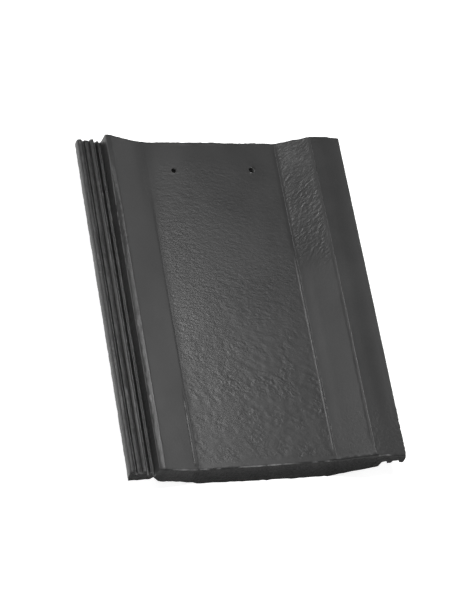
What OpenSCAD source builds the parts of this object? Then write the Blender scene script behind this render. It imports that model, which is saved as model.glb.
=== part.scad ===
// Large-format interlocking trough roof tile, cast and extruded in one piece.
// It lies as it would on a level floor, on its two nibs and its tail bar.
// +Y points to the head, +Z up, and the side lock is at -X. Millimetres.

/* [Overall] */
// Length from the tip of the tail's nose to the head
tile_l = 420; // [400:1:440]
// Width with the side lock
tile_w = 330; // [326:1:340]
// Height of the pan's top face above the floor
pan_z = 22; // [20:0.5:25]

/* [Section] */
// Thickness of the pan
pan_t = 12; // [11:0.5:13.5]
// Width of the side lock, from the left edge to the flange's step
lock_w = 30.4; // [30.3:0.1:31.4]
// Height of the flange above the pan
flange_h = 16; // [15:0.2:17]
// Width of the flange's top
flange_w = 6.6; // [6.2:0.2:9]
// Run of the slope from the flange down to the pan
left_run = 43.2; // [40:0.2:46]
// Height of the crest above the pan
crest_h = 19.6; // [18:0.2:21]
// Run of the slope from the pan up to the crest
right_run = 40.5; // [38:0.5:44]
// Width of the crest, from the slope to the right edge
crest_w = 39.5; // [37:0.5:42]
// Drop of the crest at the right edge
crest_drop = 3.4; // [2.4:0.2:4.4]

/* [Side lock] */
// Height of the outer rib above the pan
rib_out_h = 5.5; // [4.5:0.1:5.8]
// Height of the low middle rib
rib_mid_h = 3.4; // [2.8:0.1:3.6]
// Height of the inner rib
rib_in_h = 6.2; // [5:0.1:6.4]
// Depth of the inner channels below the pan
lock_channel = 2.2; // [1:0.1:3]
// Depth of the side lock's underside below the pan's top face
lock_under = 9.5; // [8:0.5:11]
// Lowest level of the ribs under the crest, above the pan's top face
over_rib_z = 4.2; // [4:0.1:5]
// Level of the channels between those ribs
over_channel_z = 7.6; // [7.4:0.1:8.4]

/* [Tail] */
// How far the nose stands forward of the top edge, under the pan
nose = 7.5; // [5:0.5:9]
// How far the side lock's foot stands forward
nose_lock = 3.5; // [2:0.5:5]
// How far the crest's foot stands forward
nose_crest = 4; // [2:0.5:5]
// Length of the tail bar under the tile, behind the top edge
bar_l = 14; // [10:1:20]
// Height of the notch in the tail between the side lock and the bar
notch_h = 4.3; // [3:0.1:4.8]

/* [Head] */
// Distance between the two nail holes
nail_gap = 99; // [90:1:110]
// Distance of the left nail hole from the head
nail_back = 38; // [34:1:42]
// How much nearer to the head the right nail hole is
nail_step = 1.5; // [0:0.5:3]
// Diameter of a nail hole
nail_d = 5.5; // [4.5:0.5:7]
// Distance of the batten face of the nibs from the head
nib_back = 23; // [20:1:26]
// Distance between the centres of the nibs
nib_gap = 116; // [108:1:124]
// Width of a nib
nib_w = 34; // [28:1:40]
// Length of a nib's foot
nib_l = 10; // [8:1:11]

/* [Hidden] */
tile_grey = [0.28, 0.28, 0.285];
$fn = 48;

// Length of the top face, from the tail's top edge to the head
top_l = tile_l - nose;
// Where the flange, the pan and the crest begin, from the left edge
flange_x = lock_w + 0.8;
slope_x = flange_x + flange_w;
pan_x0 = slope_x + left_run;
crest_x = tile_w - crest_w;
pan_x1 = crest_x - right_run;
// Left edge of the overlock, which covers the next tile's side lock
over_x = tile_w - 30;
under = -pan_t;
floor_z = -pan_z;

function unit(a) = a / norm(a);
function xy(c) = [c[0], c[1]];

// Points of a corner v, between p and n, rounded to the radius in v[2]
function rounded(p, v, n) =
  let (a = unit(xy(p) - xy(v)), b = unit(xy(n) - xy(v)),
       half = acos(max(-1, min(1, a * b))) / 2,
       r = v[2],
       c = xy(v) + unit(a + b) * r / sin(half),
       s = xy(v) + a * r / tan(half) - c,
       turn = 180 - 2 * half,
       steps = max(2, ceil(turn / 18)),
       sense = (a[0] * b[1] - a[1] * b[0]) > 0 ? -1 : 1)
  [for (i = [0 : steps])
     let (w = sense * turn * i / steps)
     c + [s[0] * cos(w) - s[1] * sin(w), s[0] * sin(w) + s[1] * cos(w)]];

function rounded_outline(c) =
  [for (i = [0 : len(c) - 1])
     each rounded(c[(i + len(c) - 1) % len(c)], c[i], c[(i + 1) % len(c)])];

// Corners of the section: across, above the pan, radius
top_corners = [
  [0, rib_out_h, 2.2], [5.4, rib_out_h, 1.8],
  [7.6, 1.4, 0.6], [8.6, 1.4, 0.5],
  [9.6, rib_mid_h, 0.6], [14, rib_mid_h - 0.5, 0.8],
  [14.6, 1.5, 0.3], [15.1, 1.5, 0.3],
  [15.9, rib_in_h, 1.4], [19.9, rib_in_h, 1.4],
  [21.6, -lock_channel - 0.2, 0.7], [23.8, -lock_channel - 0.2, 0.6],
  [25.2, 1.3, 0.7], [26.8, 1.3, 0.7],
  [28, 0.2 - lock_channel, 0.6], [lock_w, 0.2 - lock_channel, 1.2],
  [flange_x, flange_h - 0.5, 3.2], [slope_x, flange_h, 4],
  [pan_x0, 0, 11], [pan_x1, 0, 1],
  [crest_x, crest_h, 1], [tile_w - 19, crest_h, 60],
  [tile_w, crest_h - crest_drop, 1.6]];

bottom_corners = [
  [tile_w, over_rib_z, 0.8], [tile_w - 6, over_rib_z, 0.8],
  [tile_w - 7.6, over_channel_z, 0.8], [tile_w - 15.4, over_channel_z, 0.8],
  [tile_w - 17, over_rib_z, 0.8], [tile_w - 21.4, over_rib_z, 0.8],
  [tile_w - 23, over_channel_z - 0.4, 0.8], [crest_x + 1.5, over_channel_z - 0.4, 5],
  [pan_x1 + 1.5, under, 6], [pan_x0 - 5, under, 6],
  [slope_x + 6.7, flange_h - 14.4, 3], [slope_x + 2.7, flange_h - 14.4, 3],
  [lock_w + 2.6, -lock_under, 2], [1.4, -lock_under, 1.5], [0, -2, 6]];

// Tail bar: its lower outline follows the section, its upper one is inside the body
bar_corners = [
  [pan_x0 + 6.6, floor_z, 4], [pan_x1 - 3.5, floor_z, 4],
  [crest_x + 1, 0.4, 4], [over_x - 0.2, 1.6, 0.8],
  [over_x - 0.4, over_channel_z + 3, 0.8], [crest_x, over_channel_z + 3, 4],
  [pan_x1 + 0.5, under + 4, 4], [pan_x0 - 3, under + 4, 4],
  [slope_x + 4, flange_h - 9, 2], [slope_x - 1, flange_h - 9, 1],
  [slope_x - 2.2, -6, 1], [slope_x + 9.2, -8.6, 3]];

// Tail face: across, top level, foot level, how far the foot stands forward
tail_rows = [
  [-6, rib_out_h, -lock_under, nose_lock], [lock_w - 1.8, rib_out_h, -lock_under, nose_lock],
  [flange_x + 3.4, flange_h - 0.2, -6, nose], [slope_x + 2.8, flange_h - 0.8, -7, nose],
  [pan_x0 + 0.6, 0, floor_z, nose], [pan_x1, 0, floor_z, nose],
  [crest_x, crest_h, 0.4, nose], [over_x - 1, crest_h, 1.6, nose - 1],
  [over_x + 3, crest_h, over_rib_z, nose_crest], [tile_w + 6, crest_h - crest_drop, over_rib_z, nose_crest]];

// A point of the tail face at share s of the way from its top edge to its foot
function tail_point(r, s) = [r[0], -r[3] * s, r[1] + (r[2] - r[1]) * s];

// Everything in front of the raked tail face
module tail_cut() {
  far = -30;
  n = len(tail_rows);
  points = [for (r = tail_rows) let (a = tail_point(r, -1), b = tail_point(r, 2))
    each [a, b, [r[0], far, b[2]], [r[0], far, a[2]]]];
  sides = [for (i = [0 : n - 2], k = [0 : 3]) let (m = (k + 1) % 4)
    each [[4 * i + k, 4 * i + m, 4 * i + 4 + k], [4 * i + m, 4 * i + 4 + m, 4 * i + 4 + k]]];
  ends = [[0, 3, 2, 1], [for (k = [0 : 3]) 4 * (n - 1) + k]];
  polyhedron(points, concat(sides, ends));
}

// A section drawn across and up, carried along the tile from y0 to y1
module along(y0, y1) {
  translate([0, y1, 0]) rotate([90, 0, 0]) linear_extrude(y1 - y0) children();
}

// Notch under the side lock, in the tail beside the bar
module tail_notch() {
  top = notch_h - lock_under;
  along(-nose - 2, bar_l)
    polygon([[lock_w - 4.7, -lock_under - 1], [lock_w - 1, top],
             [slope_x - 2.3, top - 0.8], [slope_x - 2.3, -lock_under - 1]]);
}

module nib(x) {
  face = top_l - nib_back;
  translate([x - nib_w / 2, 0, 0]) rotate([90, 0, 90]) linear_extrude(nib_w)
    polygon([[face, floor_z], [face + nib_l, floor_z], [face + nib_l + 6, under + 2], [face, under + 2]]);
}

// Nail hole on side s of the pan, -1 left and 1 right
module nail_hole(s) {
  translate([tile_w / 2 - 0.5 + s * nail_gap / 2, top_l - nail_back + (s > 0 ? nail_step : 0), under - 3])
    cylinder(d = nail_d, h = pan_t + 6);
}

module tile() {
  color(tile_grey)
  translate([-tile_w / 2, -top_l / 2 + nose / 2, pan_z])
  difference() {
    union() {
      along(-nose, top_l) polygon(rounded_outline(concat(top_corners, bottom_corners)));
      along(-nose, bar_l) polygon(rounded_outline(bar_corners));
      for (s = [-1, 1]) nib(tile_w / 2 + s * nib_gap / 2);
    }
    tail_cut();
    tail_notch();
    for (s = [-1, 1]) nail_hole(s);
  }
}

tile();
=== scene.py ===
"""Looks of an interlocking concrete roof tile: a dense mesh of its section with its ripples,
rough knife-cut ends and nail holes, a coated and a bare concrete, soft light and a camera."""
import math

import bpy
import numpy as np
from mathutils import Matrix, Vector


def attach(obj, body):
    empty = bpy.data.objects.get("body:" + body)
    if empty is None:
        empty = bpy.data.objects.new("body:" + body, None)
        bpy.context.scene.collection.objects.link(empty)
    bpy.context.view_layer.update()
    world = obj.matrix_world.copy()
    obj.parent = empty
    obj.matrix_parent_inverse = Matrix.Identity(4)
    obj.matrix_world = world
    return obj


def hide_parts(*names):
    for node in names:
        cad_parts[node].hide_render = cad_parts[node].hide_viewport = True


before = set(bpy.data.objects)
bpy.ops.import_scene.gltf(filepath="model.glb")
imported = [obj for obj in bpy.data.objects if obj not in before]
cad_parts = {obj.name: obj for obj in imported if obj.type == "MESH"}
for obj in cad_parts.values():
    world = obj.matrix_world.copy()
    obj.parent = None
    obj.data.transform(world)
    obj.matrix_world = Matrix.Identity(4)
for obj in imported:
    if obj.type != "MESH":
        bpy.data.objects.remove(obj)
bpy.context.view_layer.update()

# ---------------------------------------------------------------- sizes, in mm
# x runs from the left edge, y from the tail's top edge, z from the pan's top face.
WIDTH, TOP_L, NOSE, PAN_Z = 330.0, 412.5, 7.5, 22.0
UNDER, FLOOR = -12.0, -22.0
ORIGIN = np.array([-WIDTH / 2, -TOP_L / 2 + NOSE / 2, PAN_Z])
HOLES = ((115.0, 374.5), (214.0, 376.0))
HOLE_R = 2.75
NIBS = (107.0, 223.0)
NIB_W, NIB_Y0, NIB_Y1, NIB_Y2 = 34.0, 389.5, 399.5, 404.5
BAR_L = 14.0

# Corners of the upper outline, from the left foot over the top to the right foot: x, z, radius
UPPER = [(2.9, -9.5, 0), (1.4, -9.5, 1.5), (0, -2, 6), (0, 5.5, 2.2), (5.4, 5.5, 1.8),
         (7.6, 1.4, 0.6), (8.6, 1.4, 0.5), (9.6, 3.4, 0.6), (14, 2.9, 0.8),
         (14.6, 1.5, 0.3), (15.1, 1.5, 0.3), (15.9, 6.2, 1.4), (19.9, 6.2, 1.4),
         (21.6, -2.4, 0.7), (23.8, -2.4, 0.6), (25.2, 1.3, 0.7), (26.8, 1.3, 0.7),
         (28, -2, 0.6), (30.4, -2, 1.2), (31.2, 15.5, 3.2), (37.8, 16, 4),
         (81, 0, 11), (250, 0, 0.4), (290.5, 19.6, 0.4), (311, 19.6, 130),
         (330, 16.2, 1.6), (330, 4.2, 0.8), (328.8, 4.2, 0)]
# Corners of the flange's top: along most of the tile, further up, and at the head
FLANGE = [(31.15, 14.5, 0.8), (33.8, 15.3, 3), (37.7, 16, 1.2)]
FLANGE_UP = [(31.15, 13.8, 0.9), (35.2, 15.5, 2), (37.7, 16, 1.2)]
FLANGE_HEAD = [(31.25, 17.1, 0.6), (37.8, 16.3, 4)]
# Corners of the underside, left to right
LOWER = [(2.9, -9.5, 0), (33, -9.5, 2), (40.5, 1.6, 3), (44.5, 1.6, 3), (76, -12, 6),
         (251.5, -12, 6), (292, 7.2, 5), (307, 7.2, 0.8), (308.6, 4.2, 0.8), (313, 4.2, 0.8),
         (314.6, 7.6, 0.8), (322.4, 7.6, 0.8), (324, 4.2, 0.8), (328.8, 4.2, 0)]
# Underside of the tail bar, and the notch in the tail beside it
BAR = [(35.6, -6, 0), (47, -8.6, 3), (87.6, -22, 4), (246.5, -22, 4), (291.5, 0.4, 4), (299.8, 1.6, 0)]
NOTCH = (26.4, 29.4, 35.6, -5.2)
# Tail face: x, top level, foot level, how far the foot stands forward, how far the top edge is set back
TAIL = np.array([(-6, 5.5, -9.5, 3.5, 0.0), (28.6, 5.5, -9.5, 3.5, 0.0), (34.6, 15.8, -6, 7.5, -2.4),
                 (40.6, 15.2, -7, 7.5, -2.2), (81.6, 0, -22, 7.5, 0.8), (160, 0, -22, 7.5, 1.5),
                 (225, 0, -22, 7.5, 2.6), (250, 0, -22, 7.5, 3.4), (272, 10.6, -10.5, 7.5, 1.5),
                 (290.5, 19.6, 0.4, 7.5, -0.3), (299, 19.6, 1.6, 6.5, -0.5), (303, 19.6, 4.2, 4.0, -0.5),
                 (336, 15.6, 4.2, 4.0, -0.5)], float)


# ---------------------------------------------------------------- noise
def _hash(ix, iy, seed):
    h = (ix.astype(np.int64) * 374761393 + iy.astype(np.int64) * 668265263 + seed * 2246822519) & 0xFFFFFFFF
    h = ((h ^ (h >> 13)) * 1274126177) & 0xFFFFFFFF
    h = h ^ (h >> 16)
    return h.astype(np.float64) / 4294967296.0


def noise(x, y, seed):
    """Smooth gradient noise, about -1 to 1, one bump per unit."""
    x, y = np.broadcast_arrays(np.asarray(x, float), np.asarray(y, float))
    ix, iy = np.floor(x), np.floor(y)
    fx, fy = x - ix, y - iy
    ux, uy = fx**3 * (fx * (fx * 6 - 15) + 10), fy**3 * (fy * (fy * 6 - 15) + 10)

    def corner(dx, dy):
        a = _hash(ix + dx, iy + dy, seed) * 2 * math.pi
        return np.cos(a) * (fx - dx) + np.sin(a) * (fy - dy)

    low = corner(0, 0) * (1 - ux) + corner(1, 0) * ux
    high = corner(0, 1) * (1 - ux) + corner(1, 1) * ux
    return (low * (1 - uy) + high * uy) * 1.5


def fbm(x, y, seed, octaves=3, gain=0.5):
    total, amp = 0.0, 1.0
    for o in range(octaves):
        total = total + amp * noise(x * 2**o, y * 2**o, seed + 17 * o)
        amp *= gain
    return total


def smooth(a, b, v):
    t = np.clip((np.asarray(v, float) - a) / (b - a), 0, 1)
    return t * t * (3 - 2 * t)


# ---------------------------------------------------------------- section
def rounded(corners, step=0.08):
    """Dense points along an open outline, each inner corner rounded to its radius."""
    c = [np.array(p[:2], float) for p in corners]
    pts = [c[0]]
    for i in range(1, len(c) - 1):
        a, b = c[i - 1] - c[i], c[i + 1] - c[i]
        a, b = a / np.linalg.norm(a), b / np.linalg.norm(b)
        half = math.acos(max(-1, min(1, float(a @ b)))) / 2
        r = corners[i][2]
        if r <= 0 or half > math.pi / 2 - 1e-4:
            pts.append(c[i])
            continue
        centre = c[i] + (a + b) / np.linalg.norm(a + b) * r / math.sin(half)
        s, e = c[i] + a * r / math.tan(half) - centre, c[i] + b * r / math.tan(half) - centre
        turn = math.atan2(s[0] * e[1] - s[1] * e[0], float(s @ e))
        for k in range(25):
            w = turn * k / 24
            pts.append(centre + np.array([s[0] * math.cos(w) - s[1] * math.sin(w), s[0] * math.sin(w) + s[1] * math.cos(w)]))
    pts.append(c[-1])
    p = np.array(pts)
    length = np.concatenate([[0], np.cumsum(np.linalg.norm(np.diff(p, axis=0), axis=1))])
    s = np.linspace(0, length[-1], int(length[-1] / step) + 1)
    return np.stack([np.interp(s, length, p[:, 0]), np.interp(s, length, p[:, 1])], 1)


def stations(p, spacing, forced_x=()):
    """Indices of a dense outline: close together on bends, at the given spacing elsewhere."""
    d = np.gradient(p, axis=0)
    step = np.linalg.norm(d, axis=1)
    ang = np.unwrap(np.arctan2(d[:, 1], d[:, 0]))
    bend = np.abs(np.gradient(ang)) / np.maximum(step, 1e-9)
    dens = np.maximum(1 / spacing(p[:, 0]), bend / 0.5)
    dens = np.convolve(np.pad(dens, 8, mode="edge"), np.ones(17) / 17, "valid")
    cum = np.concatenate([[0], np.cumsum((dens[1:] + dens[:-1]) / 2 * step[1:])])
    n = int(math.ceil(cum[-1])) + 1
    idx = np.searchsorted(cum, np.linspace(0, cum[-1], n))
    idx = np.clip(idx, 0, len(p) - 1)
    for x in forced_x:
        k = int(np.argmin(np.abs(p[:, 0] - x)))
        near = int(np.argmin(np.abs(idx - k)))
        if near not in (0, len(idx) - 1):
            idx[near] = k
    return np.unique(idx)


def spread(marks, spacing):
    """Positions along the tile from 0 to TOP_L, with the marks among them."""
    s = np.linspace(0, TOP_L, 6000)
    cum = np.concatenate([[0], np.cumsum((1 / spacing(s))[1:] * np.diff(s))])
    out = np.interp(np.linspace(0, cum[-1], int(round(cum[-1])) + 1), cum, s)
    for m in marks:
        k = int(np.argmin(np.abs(out - m)))
        if k not in (0, len(out) - 1):
            out[k] = m
    return np.unique(out)


dense_up = rounded(UPPER)
UP_X = [0, 31, 31.5, 38, 41, 74, 76, 77, 83, 85, 88, 242, 244, 245.8, 248, 250.4, 251.2, 254, 284, 286.8, 289.6, 290, 291, 291.4, 293.5, 320, 323, 330]
UP_STEP = [1.5, 1.5, 1.0, 1.0, 3.4, 3.4, 1.2, 0.5, 0.6, 1.2, 2.4, 2.4, 1.2, 0.4, 0.5, 0.35, 0.8, 1.25, 1.25, 0.6, 0.5, 0.25, 0.25, 0.6, 1.8, 2.8, 1.3, 1.3]
up = dense_up[stations(dense_up, lambda x: np.interp(x, UP_X, UP_STEP))]
nx = np.gradient(up, axis=0)
up_n = np.stack([-nx[:, 1], nx[:, 0]], 1)
up_n /= np.linalg.norm(up_n, axis=1)[:, None]
NU = len(up)

patch = 5.4  # half width of the square around a nail hole
low_marks = [x + s * patch for x, _ in HOLES for s in (-1, 1)]
low_marks += [n + s * (NIB_W / 2 + e) for n in NIBS for s in (-1, 1) for e in (0, 0.5)]
low_marks += [NOTCH[0], NOTCH[1], 35.5, 299.6, 300.2]
dense_lo = rounded(LOWER)
lo = dense_lo[stations(dense_lo, lambda x: np.where(x < 40, 3.0, np.where(x < 290, 5.0, 1.8)), sorted(low_marks))]
NL = len(lo)

row_marks = [BAR_L - 0.3, BAR_L + 0.3, NIB_Y0 - 0.3, NIB_Y0 + 0.1, NIB_Y1, NIB_Y2]
row_marks += [y + s * patch for _, y in HOLES[:1] for s in (-1, 1)]
rows = spread(row_marks, lambda y: np.interp(y, [0, 5, 14, 396, 407, TOP_L], [0.6, 0.75, 1.38, 1.38, 0.85, 0.65]))
M = len(rows)
low_rows = sorted({0, M - 1, *range(0, M, 6), *(int(np.argmin(np.abs(rows - m))) for m in row_marks)})


# ---------------------------------------------------------------- relief of the coated face
def tail_row(x):
    return [np.interp(x, TAIL[:, 0], TAIL[:, k]) for k in range(1, 5)]


def ridge(x, at, half):
    return np.clip(1 - ((x - at) / half) ** 2, 0, 1) ** 1.5


def zones(x, y):
    """How rippled, how grainy and how smooth a point of the upper face is."""
    edge = 82.0 + 9 * smooth(300, 400, y) + 1.2 * noise(y / 26, 0, 5)    # the smooth slope runs over the pan's edge near the head
    pan = smooth(edge - 0.5, edge + 5, x) * (1 - smooth(243.0, 247.0, x))
    pan = pan * smooth(4, 14, y) * (1 - 0.85 * smooth(372, 398, y + 6 * noise(x / 25, y / 40, 8)))
    slope = smooth(251.5, 253.5, x) * (1 - smooth(285, 289, x)) * smooth(218, 295, y + 22 * noise(x / 16, y / 26, 6))
    low = 1 - smooth(110, 250, y + 25 * noise(x / 60, y / 60, 7))         # towards the tail the ripples turn into grains
    return pan, slope, low


def patches(x, y):
    """Where the pan's grains are strong, and where the coating has levelled them."""
    return 0.3 + 0.9 * smooth(-0.3, 0.4, noise(x / 24, y / 28, 36))


def creases(x, y):
    """Fine steps and lips along the three bends of the section."""
    head = smooth(235, 285, y)
    low = smooth(12, 19, y)
    run = 1 + 0.45 * noise(y / 9, 0.5, 26)
    # foot of the right slope: a soft groove towards the head, a fine step towards the tail
    d = head * (0.13 * np.clip(1 - np.abs(x - 252.4) / 1.7, 0, 1) - 0.46 * smooth(244.8, 250.8, x) * (1 - smooth(253, 286, x)))
    d = d + (1 - head) * low * run * (0.7 + 0.38 * smooth(60, 190, y)) * (0.34 * smooth(246.3, 248.4, x) - 0.1 * smooth(248.5, 249.9, x)) * (1 - smooth(252, 264, x))
    # edge of the crest: a low, uneven lip towards the tail
    at = x + 0.7 * noise(y / 6, 0.5, 46)
    lip = np.clip(0.9 + 1.2 * noise(y / 7, 0.5, 47) + 0.7 * noise(y / 2.8, 0.5, 57), 0, 2.2)
    d = d + 0.05 * (1 - head) * low * lip * smooth(287, 288.6, at) * (1 - smooth(289.6, 294, at))
    # and a shallow hollow just below it
    d = d - 0.15 * (1 - head) * low * np.clip(0.9 + 0.5 * noise(y / 8, 0.5, 59), 0.3, 1.4) * smooth(254, 286, x) * (1 - smooth(286.3, 288.9, at))
    # foot of the left slope: a narrow ledge at the tail, a fillet all along that widens at the head
    ledge = np.clip((x - 76.8) / 1.7, 0, 1) * (1 - np.clip((x - 78.7) / 3.4, 0, 1))
    d = d + 0.76 * (1 - smooth(65, 100, y + 14 * noise(y / 11, 0.5, 30))) * smooth(3, 9, y) * ledge
    d = d + 0.2 * (1 - smooth(255, 330, y)) * np.clip(1 - np.abs(x - 82.6) / 6, 0, 1) ** 2
    return d + 0.9 * smooth(255, 400, y) * np.clip(1 - np.abs(x - 81) / 12, 0, 1) ** 2


def calm(x, y):
    """Strength of the ripples: towards the right stronger in the middle, weaker at the head."""
    return 1 + smooth(105, 215, x) * (0.8 - 1.1 * smooth(230, 320, y))


def relief(x, y):
    pan, slope, low = zones(x, y)
    wob = noise(x / 45, y / 45, 11)
    s = y + 0.14 * x
    fine = noise(x / 6 + 0.25 * wob, s / 3.7 + 0.6 * wob, 12) + 0.5 * noise(x / 4.2, s / 2.9 + wob, 13)
    fine = fine * (0.75 + 0.6 * noise(x / 40, y / 40, 20))
    grain = fbm(x / 7.5 + 0.4 * wob, y / 6.0 + x / 22, 14, 2, 0.6)
    lumps = noise((0.81 * x - 0.58 * y) / 13, (0.58 * x + 0.81 * y) / 5.8, 35)
    bumps = np.clip(noise(x / 6.5, y / 6.5, 15) - 0.45, 0, 1) * 1.3
    strokes = np.clip(noise((0.81 * x - 0.58 * y) / 8, (0.58 * x + 0.81 * y) / 4.6, 37) - 0.1, 0, 1) * 1.4
    run, over = 0.83 * x + 0.55 * y, 0.83 * y - 0.55 * x
    diag = noise(run / 6.2, over / 2.9 + wob, 16) + 0.6 * noise(run / 4.4, over / 2.3, 17)
    side = smooth(105, 215, x)    # coarser towards the right
    d = (1 - 0.75 * low) * (0.066 * fine + 0.03 * lumps) * calm(x, y)
    d = pan * (d + low * ((0.1 + 0.1 * side) * lumps + 0.19 * side * strokes + patches(x, y) * (0.68 + 0.07 * side) * (0.18 * grain + 0.24 * bumps)))
    d = d + slope * 0.2 * (0.75 + 0.7 * noise(x / 14, y / 22, 29)) * diag + creases(x, y)
    crown = 0.1 + 0.7 * smooth(50, 190, y)    # the pan is very slightly crowned, less so at the tail
    d = d + crown * np.clip(1 - ((x - 165.5) / 84.5) ** 2, 0, 1)
    bow = 0.22 * smooth(60, 150, y) * (1 - smooth(200, 270, y)) - 0.55 * smooth(240, 330, y)
    d = d + bow * np.clip((x - 251) / 39, 0, 1)
    fall = np.clip((x - 38) / 43, 0, 1)
    d = d - 0.8 * fall * (1 - fall)    # and the left slope sags a little
    d = d + 0.12 * noise(x / 70, y / 90, 18) + 0.05 * noise(x / 26, y / 30, 19)
    lip = np.clip(1 - np.abs(y - 2.2) / 2.2, 0, 1) * smooth(36, 44, x) * (1 - smooth(225, 250, x))
    d = d + lip * (0.08 + 0.12 * noise(x / 5, 0.5, 28))
    return d + 0.22 * smooth(32, 35, x) * (1 - smooth(37, 40, x)) * noise(x / 9, y / 11, 24)


def head_edge(x):
    ear = smooth(30.6, 31.4, x) * (1 - smooth(34, 62, x))    # the cut drags a little where the flange ends
    return 0.9 * ear + 0.45 * noise(x / 9, 1.5, 21) + 0.35 * noise(x / 3.4, 2.5, 22) - 0.6 * np.clip(noise(x / 15, 3.5, 23) - 0.3, 0, 1) * 2


def tail_y(x, z):
    """Where the raked tail face cuts: y at a point of the section."""
    top, foot, fwd, back = tail_row(x)
    s = np.clip((top - z) / (top - foot), 0, 1)
    return back * (1 - s) - fwd * s, s


def along(k, corners):
    """The outline's points k, moved on to other corners between the same two ends."""
    p = rounded([(*up[k[0]], 0), *corners, (*up[k[-1]], 0)], 0.04)
    was = np.concatenate([[0], np.cumsum(np.linalg.norm(np.diff(up[k], axis=0), axis=1))])
    now = np.concatenate([[0], np.cumsum(np.linalg.norm(np.diff(p, axis=0), axis=1))])
    t = was / was[-1] * now[-1]
    return np.stack([np.interp(t, now, p[:, 0]), np.interp(t, now, p[:, 1])], 1)


def grid_up():
    x0, z0 = up[:, 0][:, None], up[:, 1][:, None]
    y0 = rows[None, :]
    # the flange: a sharp upstand at the head, its top leaning to the left further down
    k = np.flatnonzero((up[:, 0] > 30.85) & (up[:, 0] < 41) & (up[:, 1] > 9))
    upper, sharp = smooth(225, 285, y0), smooth(315, 395, y0)
    top = along(k, FLANGE)[:, :, None] * (1 - upper) + along(k, FLANGE_UP)[:, :, None] * upper
    top = top * (1 - sharp) + along(k, FLANGE_HEAD)[:, :, None] * sharp
    x0, z0 = np.repeat(x0, M, 1), np.repeat(z0, M, 1)
    x0[k], z0[k] = top[:, 0], top[:, 1]
    d = relief(x0, y0)
    wall = smooth(0.5, 1.0, np.abs(up_n[:, 0]))[:, None]
    d = d * (1 - wall)
    lock = (1 - smooth(30.5, 31.5, x0))
    d = d * (1 - lock) + lock * (0.22 * noise(x0 / 4, y0 / 8, 31) + 0.22 * noise(x0 / 2.5, y0 / 3.0, 32))
    # its left arris is uneven
    lean = np.arctan2(-up_n[:, 0], up_n[:, 1])[:, None]
    arris = np.clip(1 - ((lean - 0.75) / 0.72) ** 2, 0, 1) * ((x0 > 30.8) & (x0 < 37) & (z0 > 9))
    d = d + arris * (1 - 0.7 * sharp) * (0.22 * noise(y0 / 9, x0 / 9, 25) + 0.28 * noise(y0 / 3.6, x0 / 3, 27))
    # burrs along the lowest part of the right edge
    right = smooth(322, 329, x0) * (1 - 0.85 * smooth(20, 90, y0))
    d = d + right * (0.6 * noise(y0 / 4.6, (x0 + z0) / 6, 33) + 0.3 * noise(y0 / 2.4, (x0 + z0) / 4, 34))
    x = x0 + up_n[:, 0][:, None] * d
    z = z0 + up_n[:, 1][:, None] * d
    x = x + 0.45 * smooth(312, 326, x0) * (y0 - 220) / 190    # the right edge is not quite parallel to the left one
    # raked, ragged tail edge and knife-cut head edge
    ty, s = tail_y(up[:, 0], up[:, 1])
    ragged = 0.42 * noise(up[:, 0] / 6, 0.5, 41) + 0.32 * noise(up[:, 0] / 2.6, 7.5, 42)
    ragged = ragged * (1 + 1.3 * smooth(300, 325, up[:, 0]))
    ty = ty + ragged * (0.5 + s)
    y = y0 + ty[:, None] * np.clip(1 - y0 / 26, 0, 1) ** 2
    y = y + head_edge(up[:, 0])[:, None] * np.clip(1 - (TOP_L - y0) / 9, 0, 1) ** 2
    # the top edges are worn round
    r = (0.5 + 3.6 * smooth(228, 256, up[:, 0]) * (1 - smooth(288, 300, up[:, 0])))[:, None] * (1 + 0.3 * noise(x0 / 7, 0.5, 48))
    gap = np.clip((y - ty[:, None]) / r, 0, 1)
    drop = r * 0.65 * (1 - np.sqrt(np.clip(1 - (1 - gap) ** 2, 0, 1)))
    near = np.clip(1 - (y - ty[:, None]) / 3.0, 0, 1)
    drop = drop + (0.3 + 0.2 * noise(x0 / 6, 0.5, 45)) * near**2
    rh = 0.8
    gap_h = np.clip((TOP_L - y0) / rh, 0, 1)
    drop_h = rh * 0.4 * (1 - np.sqrt(np.clip(1 - (1 - gap_h) ** 2, 0, 1)))
    rough_h = np.clip(1 - (TOP_L - y0) / 6, 0, 1) * (0.3 * noise(x0 / 3.4, y0 / 3.4, 43) + 0.3 * noise(x0 / 8, y0 / 8, 44))
    up_face = smooth(0.2, 0.6, up_n[:, 1])[:, None]
    z = z - (drop + drop_h - rough_h * 0.8) * up_face
    return np.stack([x, y, z], -1)


def low_z(x, y):
    """Underside: body, tail bar and nibs."""
    base = np.interp(x, lo[:, 0], lo[:, 1])
    bar = rounded(BAR)
    foot = np.interp(x, bar[:, 0], bar[:, 1])
    in_bar = ((x > 35.49) & (x < 299.9) & (y < BAR_L + 0.05)).astype(float)
    z = base * (1 - in_bar) + foot * in_bar
    a, b, c, top = NOTCH
    z = np.where((x > a) & (x < c) & (y < BAR_L + 0.05), np.maximum(z, np.interp(x, [a, b, c], [-9.5, top, -6.0])), z)
    for n in NIBS:
        inside = (np.abs(x - n) < NIB_W / 2 + 0.1) & (y > NIB_Y0) & (y < NIB_Y2)
        z = np.where(inside, np.minimum(z, np.where(y <= NIB_Y1 + 0.01, FLOOR, FLOOR + (y - NIB_Y1) * 2.0)), z)
    return z


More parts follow.
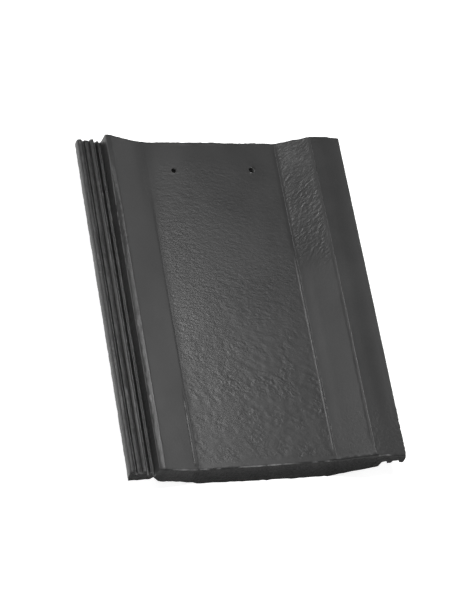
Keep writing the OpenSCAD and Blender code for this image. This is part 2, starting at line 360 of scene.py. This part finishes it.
def grid_low():
    x0 = np.repeat(lo[:, 0][:, None], len(low_rows), 1)
    y0 = np.repeat(rows[low_rows][None, :], NL, 0)
    z = low_z(x0, y0)
    flat = (z < FLOOR + 0.05)
    z = z + np.where(flat, 0.0, 0.12 * noise(x0 / 9, y0 / 9, 51))
    ty, _ = tail_y(lo[:, 0], np.array([low_z(a, 0.0) for a in lo[:, 0]]))
    ragged = 0.55 * noise(lo[:, 0] / 7, 0.5, 52) + 0.45 * noise(lo[:, 0] / 3.1, 3.5, 53)
    ragged[0] = ragged[-1] = 0
    y = y0 + (ty + ragged)[:, None] * np.clip(1 - y0 / 13, 0, 1) ** 1.5
    y = y + (head_edge(lo[:, 0]) * 0.5)[:, None] * np.clip(1 - (TOP_L - y0) / 9, 0, 1) ** 2
    z[1:-1, 0] += np.abs(0.5 * noise(lo[1:-1, 0] / 5, 9.5, 54)) + 0.9 * np.clip(noise(lo[1:-1, 0] / 12, 4.5, 59), 0, 1) + 0.1
    return np.stack([x0, y, z], -1)


U, Lw = grid_up(), grid_low()

verts, faces, mats = [], [], []
COAT, CUT, MOULD = 0, 1, 2


def add(points):
    start = len(verts)
    verts.extend(map(tuple, np.asarray(points, float).reshape(-1, 3)))
    return start


def face(ids, mat):
    faces.append(tuple(int(i) for i in ids))
    mats.append(mat)


u_id = np.arange(NU * M).reshape(NU, M) + add(U)
l_id = np.full((NL, len(low_rows)), -1)
inner = add(Lw[1:-1])
l_id[1:-1] = np.arange((NL - 2) * len(low_rows)).reshape(NL - 2, -1) + inner
for q, j in enumerate(low_rows):  # the feet of both sides are shared
    l_id[0, q], l_id[-1, q] = u_id[0, j], u_id[-1, j]


def square(xs, ys, hole):
    """Index window of a grid that covers the square round a nail hole."""
    a = np.where(np.abs(xs - hole[0]) <= patch + 0.95)[0]
    b = np.where(np.abs(ys - hole[1]) <= patch + 0.45)[0]
    return a[0], a[-1], b[0], b[-1]


up_windows = [square(up[:, 0], rows, h) for h in HOLES]
low_windows = [square(lo[:, 0], rows[low_rows], h) for h in HOLES]


def inside(i, j, windows):
    return any(a <= i < b and c <= j < d for a, b, c, d in windows)


for i in range(NU - 1):
    for j in range(M - 1):
        if not inside(i, j, up_windows):
            face((u_id[i, j], u_id[i + 1, j], u_id[i + 1, j + 1], u_id[i, j + 1]), COAT)
for i in range(NL - 1):
    for q in range(len(low_rows) - 1):
        if inside(i, q, low_windows):
            continue
        ring = [l_id[i, q]]
        if i == 0:
            ring = [u_id[0, j] for j in range(low_rows[q], low_rows[q + 1] + 1)]
        else:
            ring = [l_id[i, q], l_id[i, q + 1]]
        if i + 1 == NL - 1:
            ring += [u_id[-1, j] for j in range(low_rows[q + 1], low_rows[q] - 1, -1)]
        else:
            ring += [l_id[i + 1, q + 1], l_id[i + 1, q]]
        face(ring, MOULD)


def zipper(a, ta, b, tb, mat, flip):
    """Triangles between two chains of vertices that run the same way."""
    i = j = 0
    while i < len(a) - 1 or j < len(b) - 1:
        if j == len(b) - 1 or (i < len(a) - 1 and ta[i + 1] <= tb[j + 1]):
            t = (a[i], b[j], a[i + 1])
            i += 1
        else:
            t = (a[i], b[j], b[j + 1])
            j += 1
        if len(set(t)) == 3:
            face(t[::-1] if flip else t, mat)


def cap(j_up, q_low, seed, amount, flip):
    """A rough cut end between the upper and the lower outline."""
    top, bot = U[:, j_up], Lw[:, q_low]
    xs = np.maximum.accumulate(np.clip(top[:, 0], bot[0, 0], bot[-1, 0]))
    t_top = (xs - bot[0, 0]) / (bot[-1, 0] - bot[0, 0])
    t_bot = np.maximum.accumulate((bot[:, 0] - bot[0, 0]) / (bot[-1, 0] - bot[0, 0]))
    under = np.stack([np.interp(t_top, t_bot, bot[:, k]) for k in range(3)], 1)
    steps = 9
    prev = u_id[:, j_up]
    for s in range(1, steps):
        w = s / steps
        p = top * (1 - w) + under * w
        lump = 0.55 * noise(p[:, 0] / 5.5, p[:, 2] / 4.5, seed) + 0.5 * noise(p[:, 0] / 2.6, p[:, 2] / 2.4, seed + 1)
        lump += 0.9 * np.clip(noise(p[:, 0] / 8.0, p[:, 2] / 5.0, seed + 2) - 0.35, 0, 1)
        fade = np.sin(math.pi * min(1, w * 1.05)) ** 0.5
        p[:, 1] += amount * lump * fade * np.clip((top[:, 2] - under[:, 2]) / 6, 0, 1)
        ids = np.arange(NU) + add(p)
        ids[0], ids[-1] = u_id[0, j_up], u_id[-1, j_up]
        for k in range(NU - 1):
            ring = [prev[k], ids[k], ids[k + 1], prev[k + 1]]
            ring = [v for n, v in enumerate(ring) if v != ring[n - 1]]
            if len(ring) > 2:
                face(ring[::-1] if flip else ring, CUT)
        prev = ids
    zipper(prev, t_top, l_id[:, q_low], t_bot, CUT, flip)


cap(0, 0, 61, 0.75, False)
cap(M - 1, len(low_rows) - 1, 71, 0.6, True)

# nail holes: the square in each face is joined to rings that go down the hole
RING = 40


def loop(ids, win):
    a, b, c, d = win
    out = [ids[i, c] for i in range(a, b)] + [ids[b, j] for j in range(c, d)]
    out += [ids[i, d] for i in range(b, a, -1)] + [ids[a, j] for j in range(d, c, -1)]
    return out


for n, (hx, hy) in enumerate(HOLES):
    ang = np.arange(RING) / RING * 2 * math.pi
    lip = 0.6 if n == 1 else 0.2

    def ring_of(radius, z, wobble, lift=0.0):
        r = radius + wobble * noise(np.cos(ang) * 1.3 + n * 9, np.sin(ang) * 1.3, 81)
        x, y = hx + r * np.cos(ang), hy + r * np.sin(ang)
        zz = relief(x, y) + lift * (0.35 + 0.55 * np.cos(ang + 0.5) + 0.4 * noise(np.cos(ang) * 1.1 + 5 * n, np.sin(ang) * 1.1, 82)) if z is None else np.full(RING, z)
        return list(np.arange(RING) + add(np.stack([x, y, zz], 1)))

    rings = [ring_of(4.7, None, 0.1), ring_of(4.0, None, 0.15, lip), ring_of(3.4, None, 0.15, lip * 1.3),
             ring_of(3.0, None, 0.12, lip * 0.3), ring_of(HOLE_R, -0.5, 0.05), ring_of(HOLE_R, -4.0, 0), ring_of(HOLE_R, -8.0, 0),
             ring_of(HOLE_R, -11.4, 0), ring_of(3.3, UNDER, 0)]

    def around(ids):
        p = np.array([verts[i] for i in ids])
        w = np.unwrap(np.arctan2(p[:, 1] - hy, p[:, 0] - hx))
        return w

    def bridge(outer, ring, mat, flip):
        w = np.arctan2(np.array([verts[i][1] for i in outer]) - hy, np.array([verts[i][0] for i in outer]) - hx) % (2 * math.pi)
        order = np.argsort(w)
        o = [outer[k] for k in order]
        t = list(w[order])
        zipper(o + [o[0]], t + [t[0] + 2 * math.pi], ring + [ring[0]], list(ang) + [2 * math.pi + ang[0]], mat, flip)

    bridge(loop(u_id, up_windows[n]), rings[0], COAT, True)
    for k in range(len(rings) - 1):
        for s in range(RING):
            e = (s + 1) % RING
            face((rings[k][s], rings[k][e], rings[k + 1][e], rings[k + 1][s]), COAT if k < 3 else CUT)
    bridge(loop(l_id, low_windows[n]), rings[-1], MOULD, False)

co = (np.array(verts) + ORIGIN) / 1000.0
used = np.zeros(len(co), bool)
for f in faces:
    used[list(f)] = True
remap = np.cumsum(used) - 1
mesh = bpy.data.meshes.new("roof_tile")
mesh.from_pydata([tuple(c) for c in co[used]], [], [tuple(int(remap[i]) for i in f) for f in faces])
mesh.validate(verbose=True)
mesh.update()

tile = bpy.data.objects.new("roof_tile", mesh)
bpy.context.scene.collection.objects.link(tile)
mesh.polygons.foreach_set("use_smooth", np.ones(len(mesh.polygons), bool))
mesh.polygons.foreach_set("material_index", np.array(mats, np.int32))
mesh.set_sharp_from_angle(angle=math.radians(48))

# masks that the coating's nodes read
pts = np.array(verts)[used]
pan_m, slope_m, low_m = zones(pts[:, 0], pts[:, 1])
top_face = smooth(-4, -1, pts[:, 2])
px, py = pts[:, 0], pts[:, 1]
side_m = smooth(105, 215, px)
edge_y = tail_row(px)[3]
# Painted highlight, partly edge wear: the base colour is lighter along the tail's top edge, where the rounded arris
# would catch the light
painted_light_and_wear = np.clip(1.3 - np.abs(py - edge_y - 0.4) / 1.3, 0, 1) * np.clip(0.55 + 0.4 * noise(px / 11, 0.5, 49) + 0.25 * noise(px / 3.3, 0.5, 56), 0.15, 0.9)
painted_light_and_wear = painted_light_and_wear * (smooth(38, 60, px) * (1 - smooth(236, 250, px)) + 1.6 * smooth(291, 295, px) * (1 - smooth(306, 314, px)) + 0.4 * (1 - smooth(28, 31, px)))
# Painted light: the rounded tail edge over the pan and the right slope is coloured lighter where it turns away from
# the light
bend = smooth(238, 254, px) * (1 - smooth(286, 294, px)) * (1 - smooth(2.5, 7, py - edge_y)) * (0.15 + 0.85 * smooth(0.6, 2.2, py - edge_y))
painted_light_and_wear = painted_light_and_wear + bend * np.clip(0.36 + 0.2 * noise(px / 6, py / 4, 55), 0, 1)
# Painted light: the right slope is coloured lighter towards the head
painted_light_and_wear = painted_light_and_wear + 0.27 * smooth(251, 255, px) * (1 - smooth(286, 290, px)) * smooth(255, 330, py)
# Painted light: the side lock's channels and grooves are coloured lighter, against the shade that falls in them
painted_groove_light = 0.1 * smooth(4, 6, px) + 0.35 * smooth(5.5, 7, px) * (1 - smooth(18.5, 20, px)) + 0.22 * smooth(21, 22, px) * (1 - smooth(24.5, 25.5, px)) + 0.5 * smooth(26.8, 28, px)
painted_light_and_wear = painted_light_and_wear + painted_groove_light * (1 - smooth(31.2, 31.6, px)) * (1 - smooth(0, 5, pts[:, 2]))
# Painted light: the left slope is coloured lighter at the head and at the tail
painted_light_and_wear = painted_light_and_wear + 0.17 * smooth(38, 44, px) * (1 - smooth(62, 74, px)) * (smooth(260, 380, py) + 1 - smooth(50, 160, py))
# Painted light: the fillet at the foot of the left slope is coloured lighter towards the head
painted_light_and_wear = painted_light_and_wear + 0.16 * smooth(270, 340, py) * (1 - smooth(2, 12, np.abs(px - 80)))
rough_m = (1 - smooth(37, 42, px)) * (1 - 0.65 * smooth(32, 34, px) * (1 - smooth(220, 280, py))) + (smooth(300, 322, px) + smooth(289, 296, px)) * (1 - smooth(25, 75, py))
plain = smooth(37, 42, px) * (1 - smooth(77, 81, px)) + smooth(251, 254, px)
rough_m = rough_m + 1.2 * (1 - smooth(2, 5, px)) + plain * (0.1 + 0.45 * (1 - smooth(15, 100, py + 30 * noise(px / 14, py / 20, 58))))
rough_m = rough_m + 1.5 * smooth(248.9, 249.7, px) * (1 - smooth(250.5, 251.2, px)) * (1 - smooth(235, 285, py))
top_z, foot_z = tail_row(px)[:2]
foot_shade_m = np.clip((top_z - pts[:, 2]) / (top_z - foot_z), 0, 1)    # how far down the cut ends; it paints shade into the bare concrete, darker towards the foot
speck_m = pan_m * ((1 - smooth(115, 185, px)) * smooth(70, 140, py) * (1 - smooth(290, 345, py)) + 0.35 * low_m)
for name, val in (("ripple", pan_m * (1 - 0.7 * low_m) * calm(px, py) * top_face),
                  ("grain", pan_m * low_m * patches(px, py) * (0.7 + 0.7 * side_m) * top_face), ("speck", speck_m * top_face),
                  ("diagonal", slope_m * top_face), ("rough", rough_m), ("foot", foot_shade_m), ("painted_light_and_wear", np.clip(painted_light_and_wear, 0, 1) * smooth(-8, -5, pts[:, 2]))):
    at = mesh.attributes.new(name, "FLOAT", "POINT")
    at.data.foreach_set("value", np.asarray(val, np.float32))

tri = sum(len(p.vertices) - 2 for p in mesh.polygons)
print("tile mesh:", len(mesh.vertices), "vertices,", tri, "triangles, outline", NU, "underside", NL, "rows", M)


# ---------------------------------------------------------------- materials
def nodes_of(name):
    m = bpy.data.materials.new(name)
    m.use_nodes = True
    t = m.node_tree
    return m, t, t.nodes["Principled BSDF"]


def tex(t, coord, scale, detail, rough=0.5, size=(1, 1, 1), turn=0.0):
    """Noise whose grains are stretched by size along axes turned in the tile's plane."""
    mp = t.nodes.new("ShaderNodeMapping")
    mp.vector_type = "TEXTURE"
    mp.inputs["Scale"].default_value = size
    mp.inputs["Rotation"].default_value = (0, 0, turn)
    t.links.new(coord, mp.inputs["Vector"])
    n = t.nodes.new("ShaderNodeTexNoise")
    n.inputs["Scale"].default_value = scale
    n.inputs["Detail"].default_value = detail
    n.inputs["Roughness"].default_value = rough
    t.links.new(mp.outputs["Vector"], n.inputs["Vector"])
    return n.outputs["Fac"]


def math_node(t, op, a, b):
    n = t.nodes.new("ShaderNodeMath")
    n.operation = op
    for k, v in enumerate((a, b)):
        if isinstance(v, (int, float)):
            n.inputs[k].default_value = v
        else:
            t.links.new(v, n.inputs[k])
    return n.outputs[0]


def ramp(t, fac, stops):
    n = t.nodes.new("ShaderNodeValToRGB")
    while len(n.color_ramp.elements) < len(stops):
        n.color_ramp.elements.new(0.5)
    for e, (pos, v) in zip(n.color_ramp.elements, stops):
        e.position = pos
        e.color = (v, v, v, 1)
    t.links.new(fac, n.inputs["Fac"])
    return n.outputs["Color"]


def bump(t, height, metres):
    n = t.nodes.new("ShaderNodeBump")
    n.inputs["Strength"].default_value = 1.0
    n.inputs["Distance"].default_value = metres
    t.links.new(height, n.inputs["Height"])
    return n.outputs["Normal"]


def mask(t, name):
    n = t.nodes.new("ShaderNodeAttribute")
    n.attribute_name = name
    return n.outputs["Fac"]


def coat():
    m, t, b = nodes_of("coated_concrete")
    pos = t.nodes.new("ShaderNodeTexCoord").outputs["Object"]
    big = tex(t, pos, 16, 3)
    speck = tex(t, pos, 520, 2, 0.6)
    shade = math_node(t, "ADD", math_node(t, "MULTIPLY", big, 0.6), math_node(t, "MULTIPLY", speck, 0.4))
    # the painted light and wear mask lightens the base colour: along the tail edge, in the lock's channels, and on
    # parts of both slopes
    shade = math_node(t, "ADD", math_node(t, "MULTIPLY", shade, 0.5), math_node(t, "MULTIPLY", mask(t, "painted_light_and_wear"), 0.6))
    t.links.new(ramp(t, shade, [(0.15, 0.018), (0.25, 0.022), (0.35, 0.027), (0.45, 0.036), (0.9, 0.3)]), b.inputs["Base Color"])
    ripple = tex(t, pos, 200, 3, 0.6, (1.05, 0.53, 1), math.radians(-8))
    grain = tex(t, pos, 230, 2, 0.55, (1.15, 0.85, 1), math.radians(-30))
    rough = tex(t, pos, 300, 2, 0.55)
    grit = tex(t, pos, 430, 2, 0.55, (1.1, 0.9, 1), math.radians(-20))
    diag = tex(t, pos, 225, 2, 0.5, (1.45, 0.62, 1), math.radians(33))
    micro = tex(t, pos, 900, 2)
    h = math_node(t, "MULTIPLY", micro, 0.018)
    for height, name, amount in ((ripple, "ripple", 0.31), (grain, "grain", 0.4), (diag, "diagonal", 0.7), (rough, "rough", 0.34), (grit, "speck", 0.2)):
        level = math_node(t, "SUBTRACT", height, 0.5)   # about the face's own level, so that a mask's edge makes no step
        h = math_node(t, "ADD", h, math_node(t, "MULTIPLY", math_node(t, "MULTIPLY", level, mask(t, name)), amount))
    t.links.new(bump(t, h, 0.001), b.inputs["Normal"])
    dull = math_node(t, "ADD", big, math_node(t, "MULTIPLY", mask(t, "rough"), 0.12))
    t.links.new(ramp(t, dull, [(0.3, 0.38), (0.7, 0.47), (1.0, 0.56)]), b.inputs["Roughness"])
    b.inputs["Specular IOR Level"].default_value = 0.42
    return m


def bare():
    m, t, b = nodes_of("bare_concrete")
    pos = t.nodes.new("ShaderNodeTexCoord").outputs["Object"]
    sand = tex(t, pos, 420, 4, 0.65)
    big = tex(t, pos, 60, 3)
    mix = math_node(t, "ADD", math_node(t, "MULTIPLY", sand, 0.6), math_node(t, "MULTIPLY", big, 0.4))
    # Painted shade: the cut end is coloured darker towards its foot
    mix = math_node(t, "SUBTRACT", mix, math_node(t, "MULTIPLY", mask(t, "foot"), 0.55))
    t.links.new(ramp(t, mix, [(0.0, 0.006), (0.1, 0.0095), (0.25, 0.0178), (0.41, 0.031), (0.55, 0.045)]), b.inputs["Base Color"])
    t.links.new(bump(t, math_node(t, "MULTIPLY", sand, 1.0), 0.0012), b.inputs["Normal"])
    b.inputs["Roughness"].default_value = 0.82
    b.inputs["Specular IOR Level"].default_value = 0.38
    return m


def mould():
    m, t, b = nodes_of("moulded_concrete")
    pos = t.nodes.new("ShaderNodeTexCoord").outputs["Object"]
    big = tex(t, pos, 35, 4)
    sand = tex(t, pos, 500, 3, 0.6)
    mix = math_node(t, "ADD", math_node(t, "MULTIPLY", sand, 0.4), math_node(t, "MULTIPLY", big, 0.6))
    t.links.new(ramp(t, mix, [(0.35, 0.019), (0.5, 0.025), (0.65, 0.032)]), b.inputs["Base Color"])
    t.links.new(bump(t, sand, 0.0004), b.inputs["Normal"])
    b.inputs["Roughness"].default_value = 0.72
    return m


for m in (coat(), bare(), mould()):
    mesh.materials.append(m)

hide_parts("tile")
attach(tile, "root")

# ---------------------------------------------------------------- floor, light and camera
floor_mesh = bpy.data.meshes.new("floor")
floor_mesh.from_pydata([(-6, -6, 0), (6, -6, 0), (6, 6, 0), (-6, 6, 0)], [], [(0, 1, 2, 3)])
floor = bpy.data.objects.new("floor", floor_mesh)
bpy.context.scene.collection.objects.link(floor)
fm, ft, fb = nodes_of("floor_paint")
fb.inputs["Base Color"].default_value = (0.65, 0.65, 0.65, 1)
fb.inputs["Emission Color"].default_value = (1, 1, 1, 1)
fb.inputs["Emission Strength"].default_value = 0.85
fb.inputs["Roughness"].default_value = 0.9
fb.inputs["Specular IOR Level"].default_value = 0.1
floor_mesh.materials.append(fm)

world = bpy.data.worlds.new("studio")
world.use_nodes = True
world.node_tree.nodes["Background"].inputs["Color"].default_value = (1, 1, 1, 1)
world.node_tree.nodes["Background"].inputs["Strength"].default_value = 0.09
bpy.context.scene.world = world


def softbox(name, place, target, size, power):
    light = bpy.data.lights.new(name, "AREA")
    light.shape = "RECTANGLE"
    light.size, light.size_y = size
    light.energy = power
    ob = bpy.data.objects.new(name, light)
    bpy.context.scene.collection.objects.link(ob)
    ob.location = place
    ob.rotation_euler = (Vector(target) - Vector(place)).to_track_quat("-Z", "Y").to_euler()
    return ob


def bank(name, way, size, power, away=2.6):
    """A softbox in a direction from the tile, facing it."""
    v = Vector(way).normalized() * away
    return softbox(name, v, (0, 0, 0), size, power)


softbox("top", (0.06, 0.26, 1.3), (-0.065, -0.15, 0), (0.4, 0.4), 13.5)
bank("left", (-0.95, 0.2, 0.3), (2.6, 0.6), 47.5)
bank("right", (0.86, 0.26, 0.41), (1.6, 1.0), 26, 3.6)

# camera, from a fit of the tile's edges in the photograph's frame of 473 x 608
FOCAL = 1936.64
RIGHT = (0.92794, -0.17091, 0.33123)
DOWN = (-0.01908, -0.90929, -0.41573)
AHEAD = (0.37224, 0.37945, -0.84703)
SHIFT = np.array((-116.93, 185.31, 2100.98))
turn = np.array([RIGHT, DOWN, AHEAD])
uu, _, vv = np.linalg.svd(turn)
turn = uu @ vv
eye = (-turn.T @ SHIFT + ORIGIN) / 1000.0
cam = bpy.data.cameras.new("camera")
cam.sensor_width = 36.0
cam.lens = FOCAL * 36.0 / 608.0
cam.clip_start, cam.clip_end = 0.05, 50
cam_ob = bpy.data.objects.new("camera", cam)
bpy.context.scene.collection.objects.link(cam_ob)
axes = np.eye(4)
axes[:3, 0], axes[:3, 1], axes[:3, 2], axes[:3, 3] = turn[0], -turn[1], -turn[2], eye
cam_ob.matrix_world = Matrix([list(map(float, r)) for r in axes])
bpy.context.scene.camera = cam_ob
bpy.context.scene.view_settings.view_transform = "Standard"
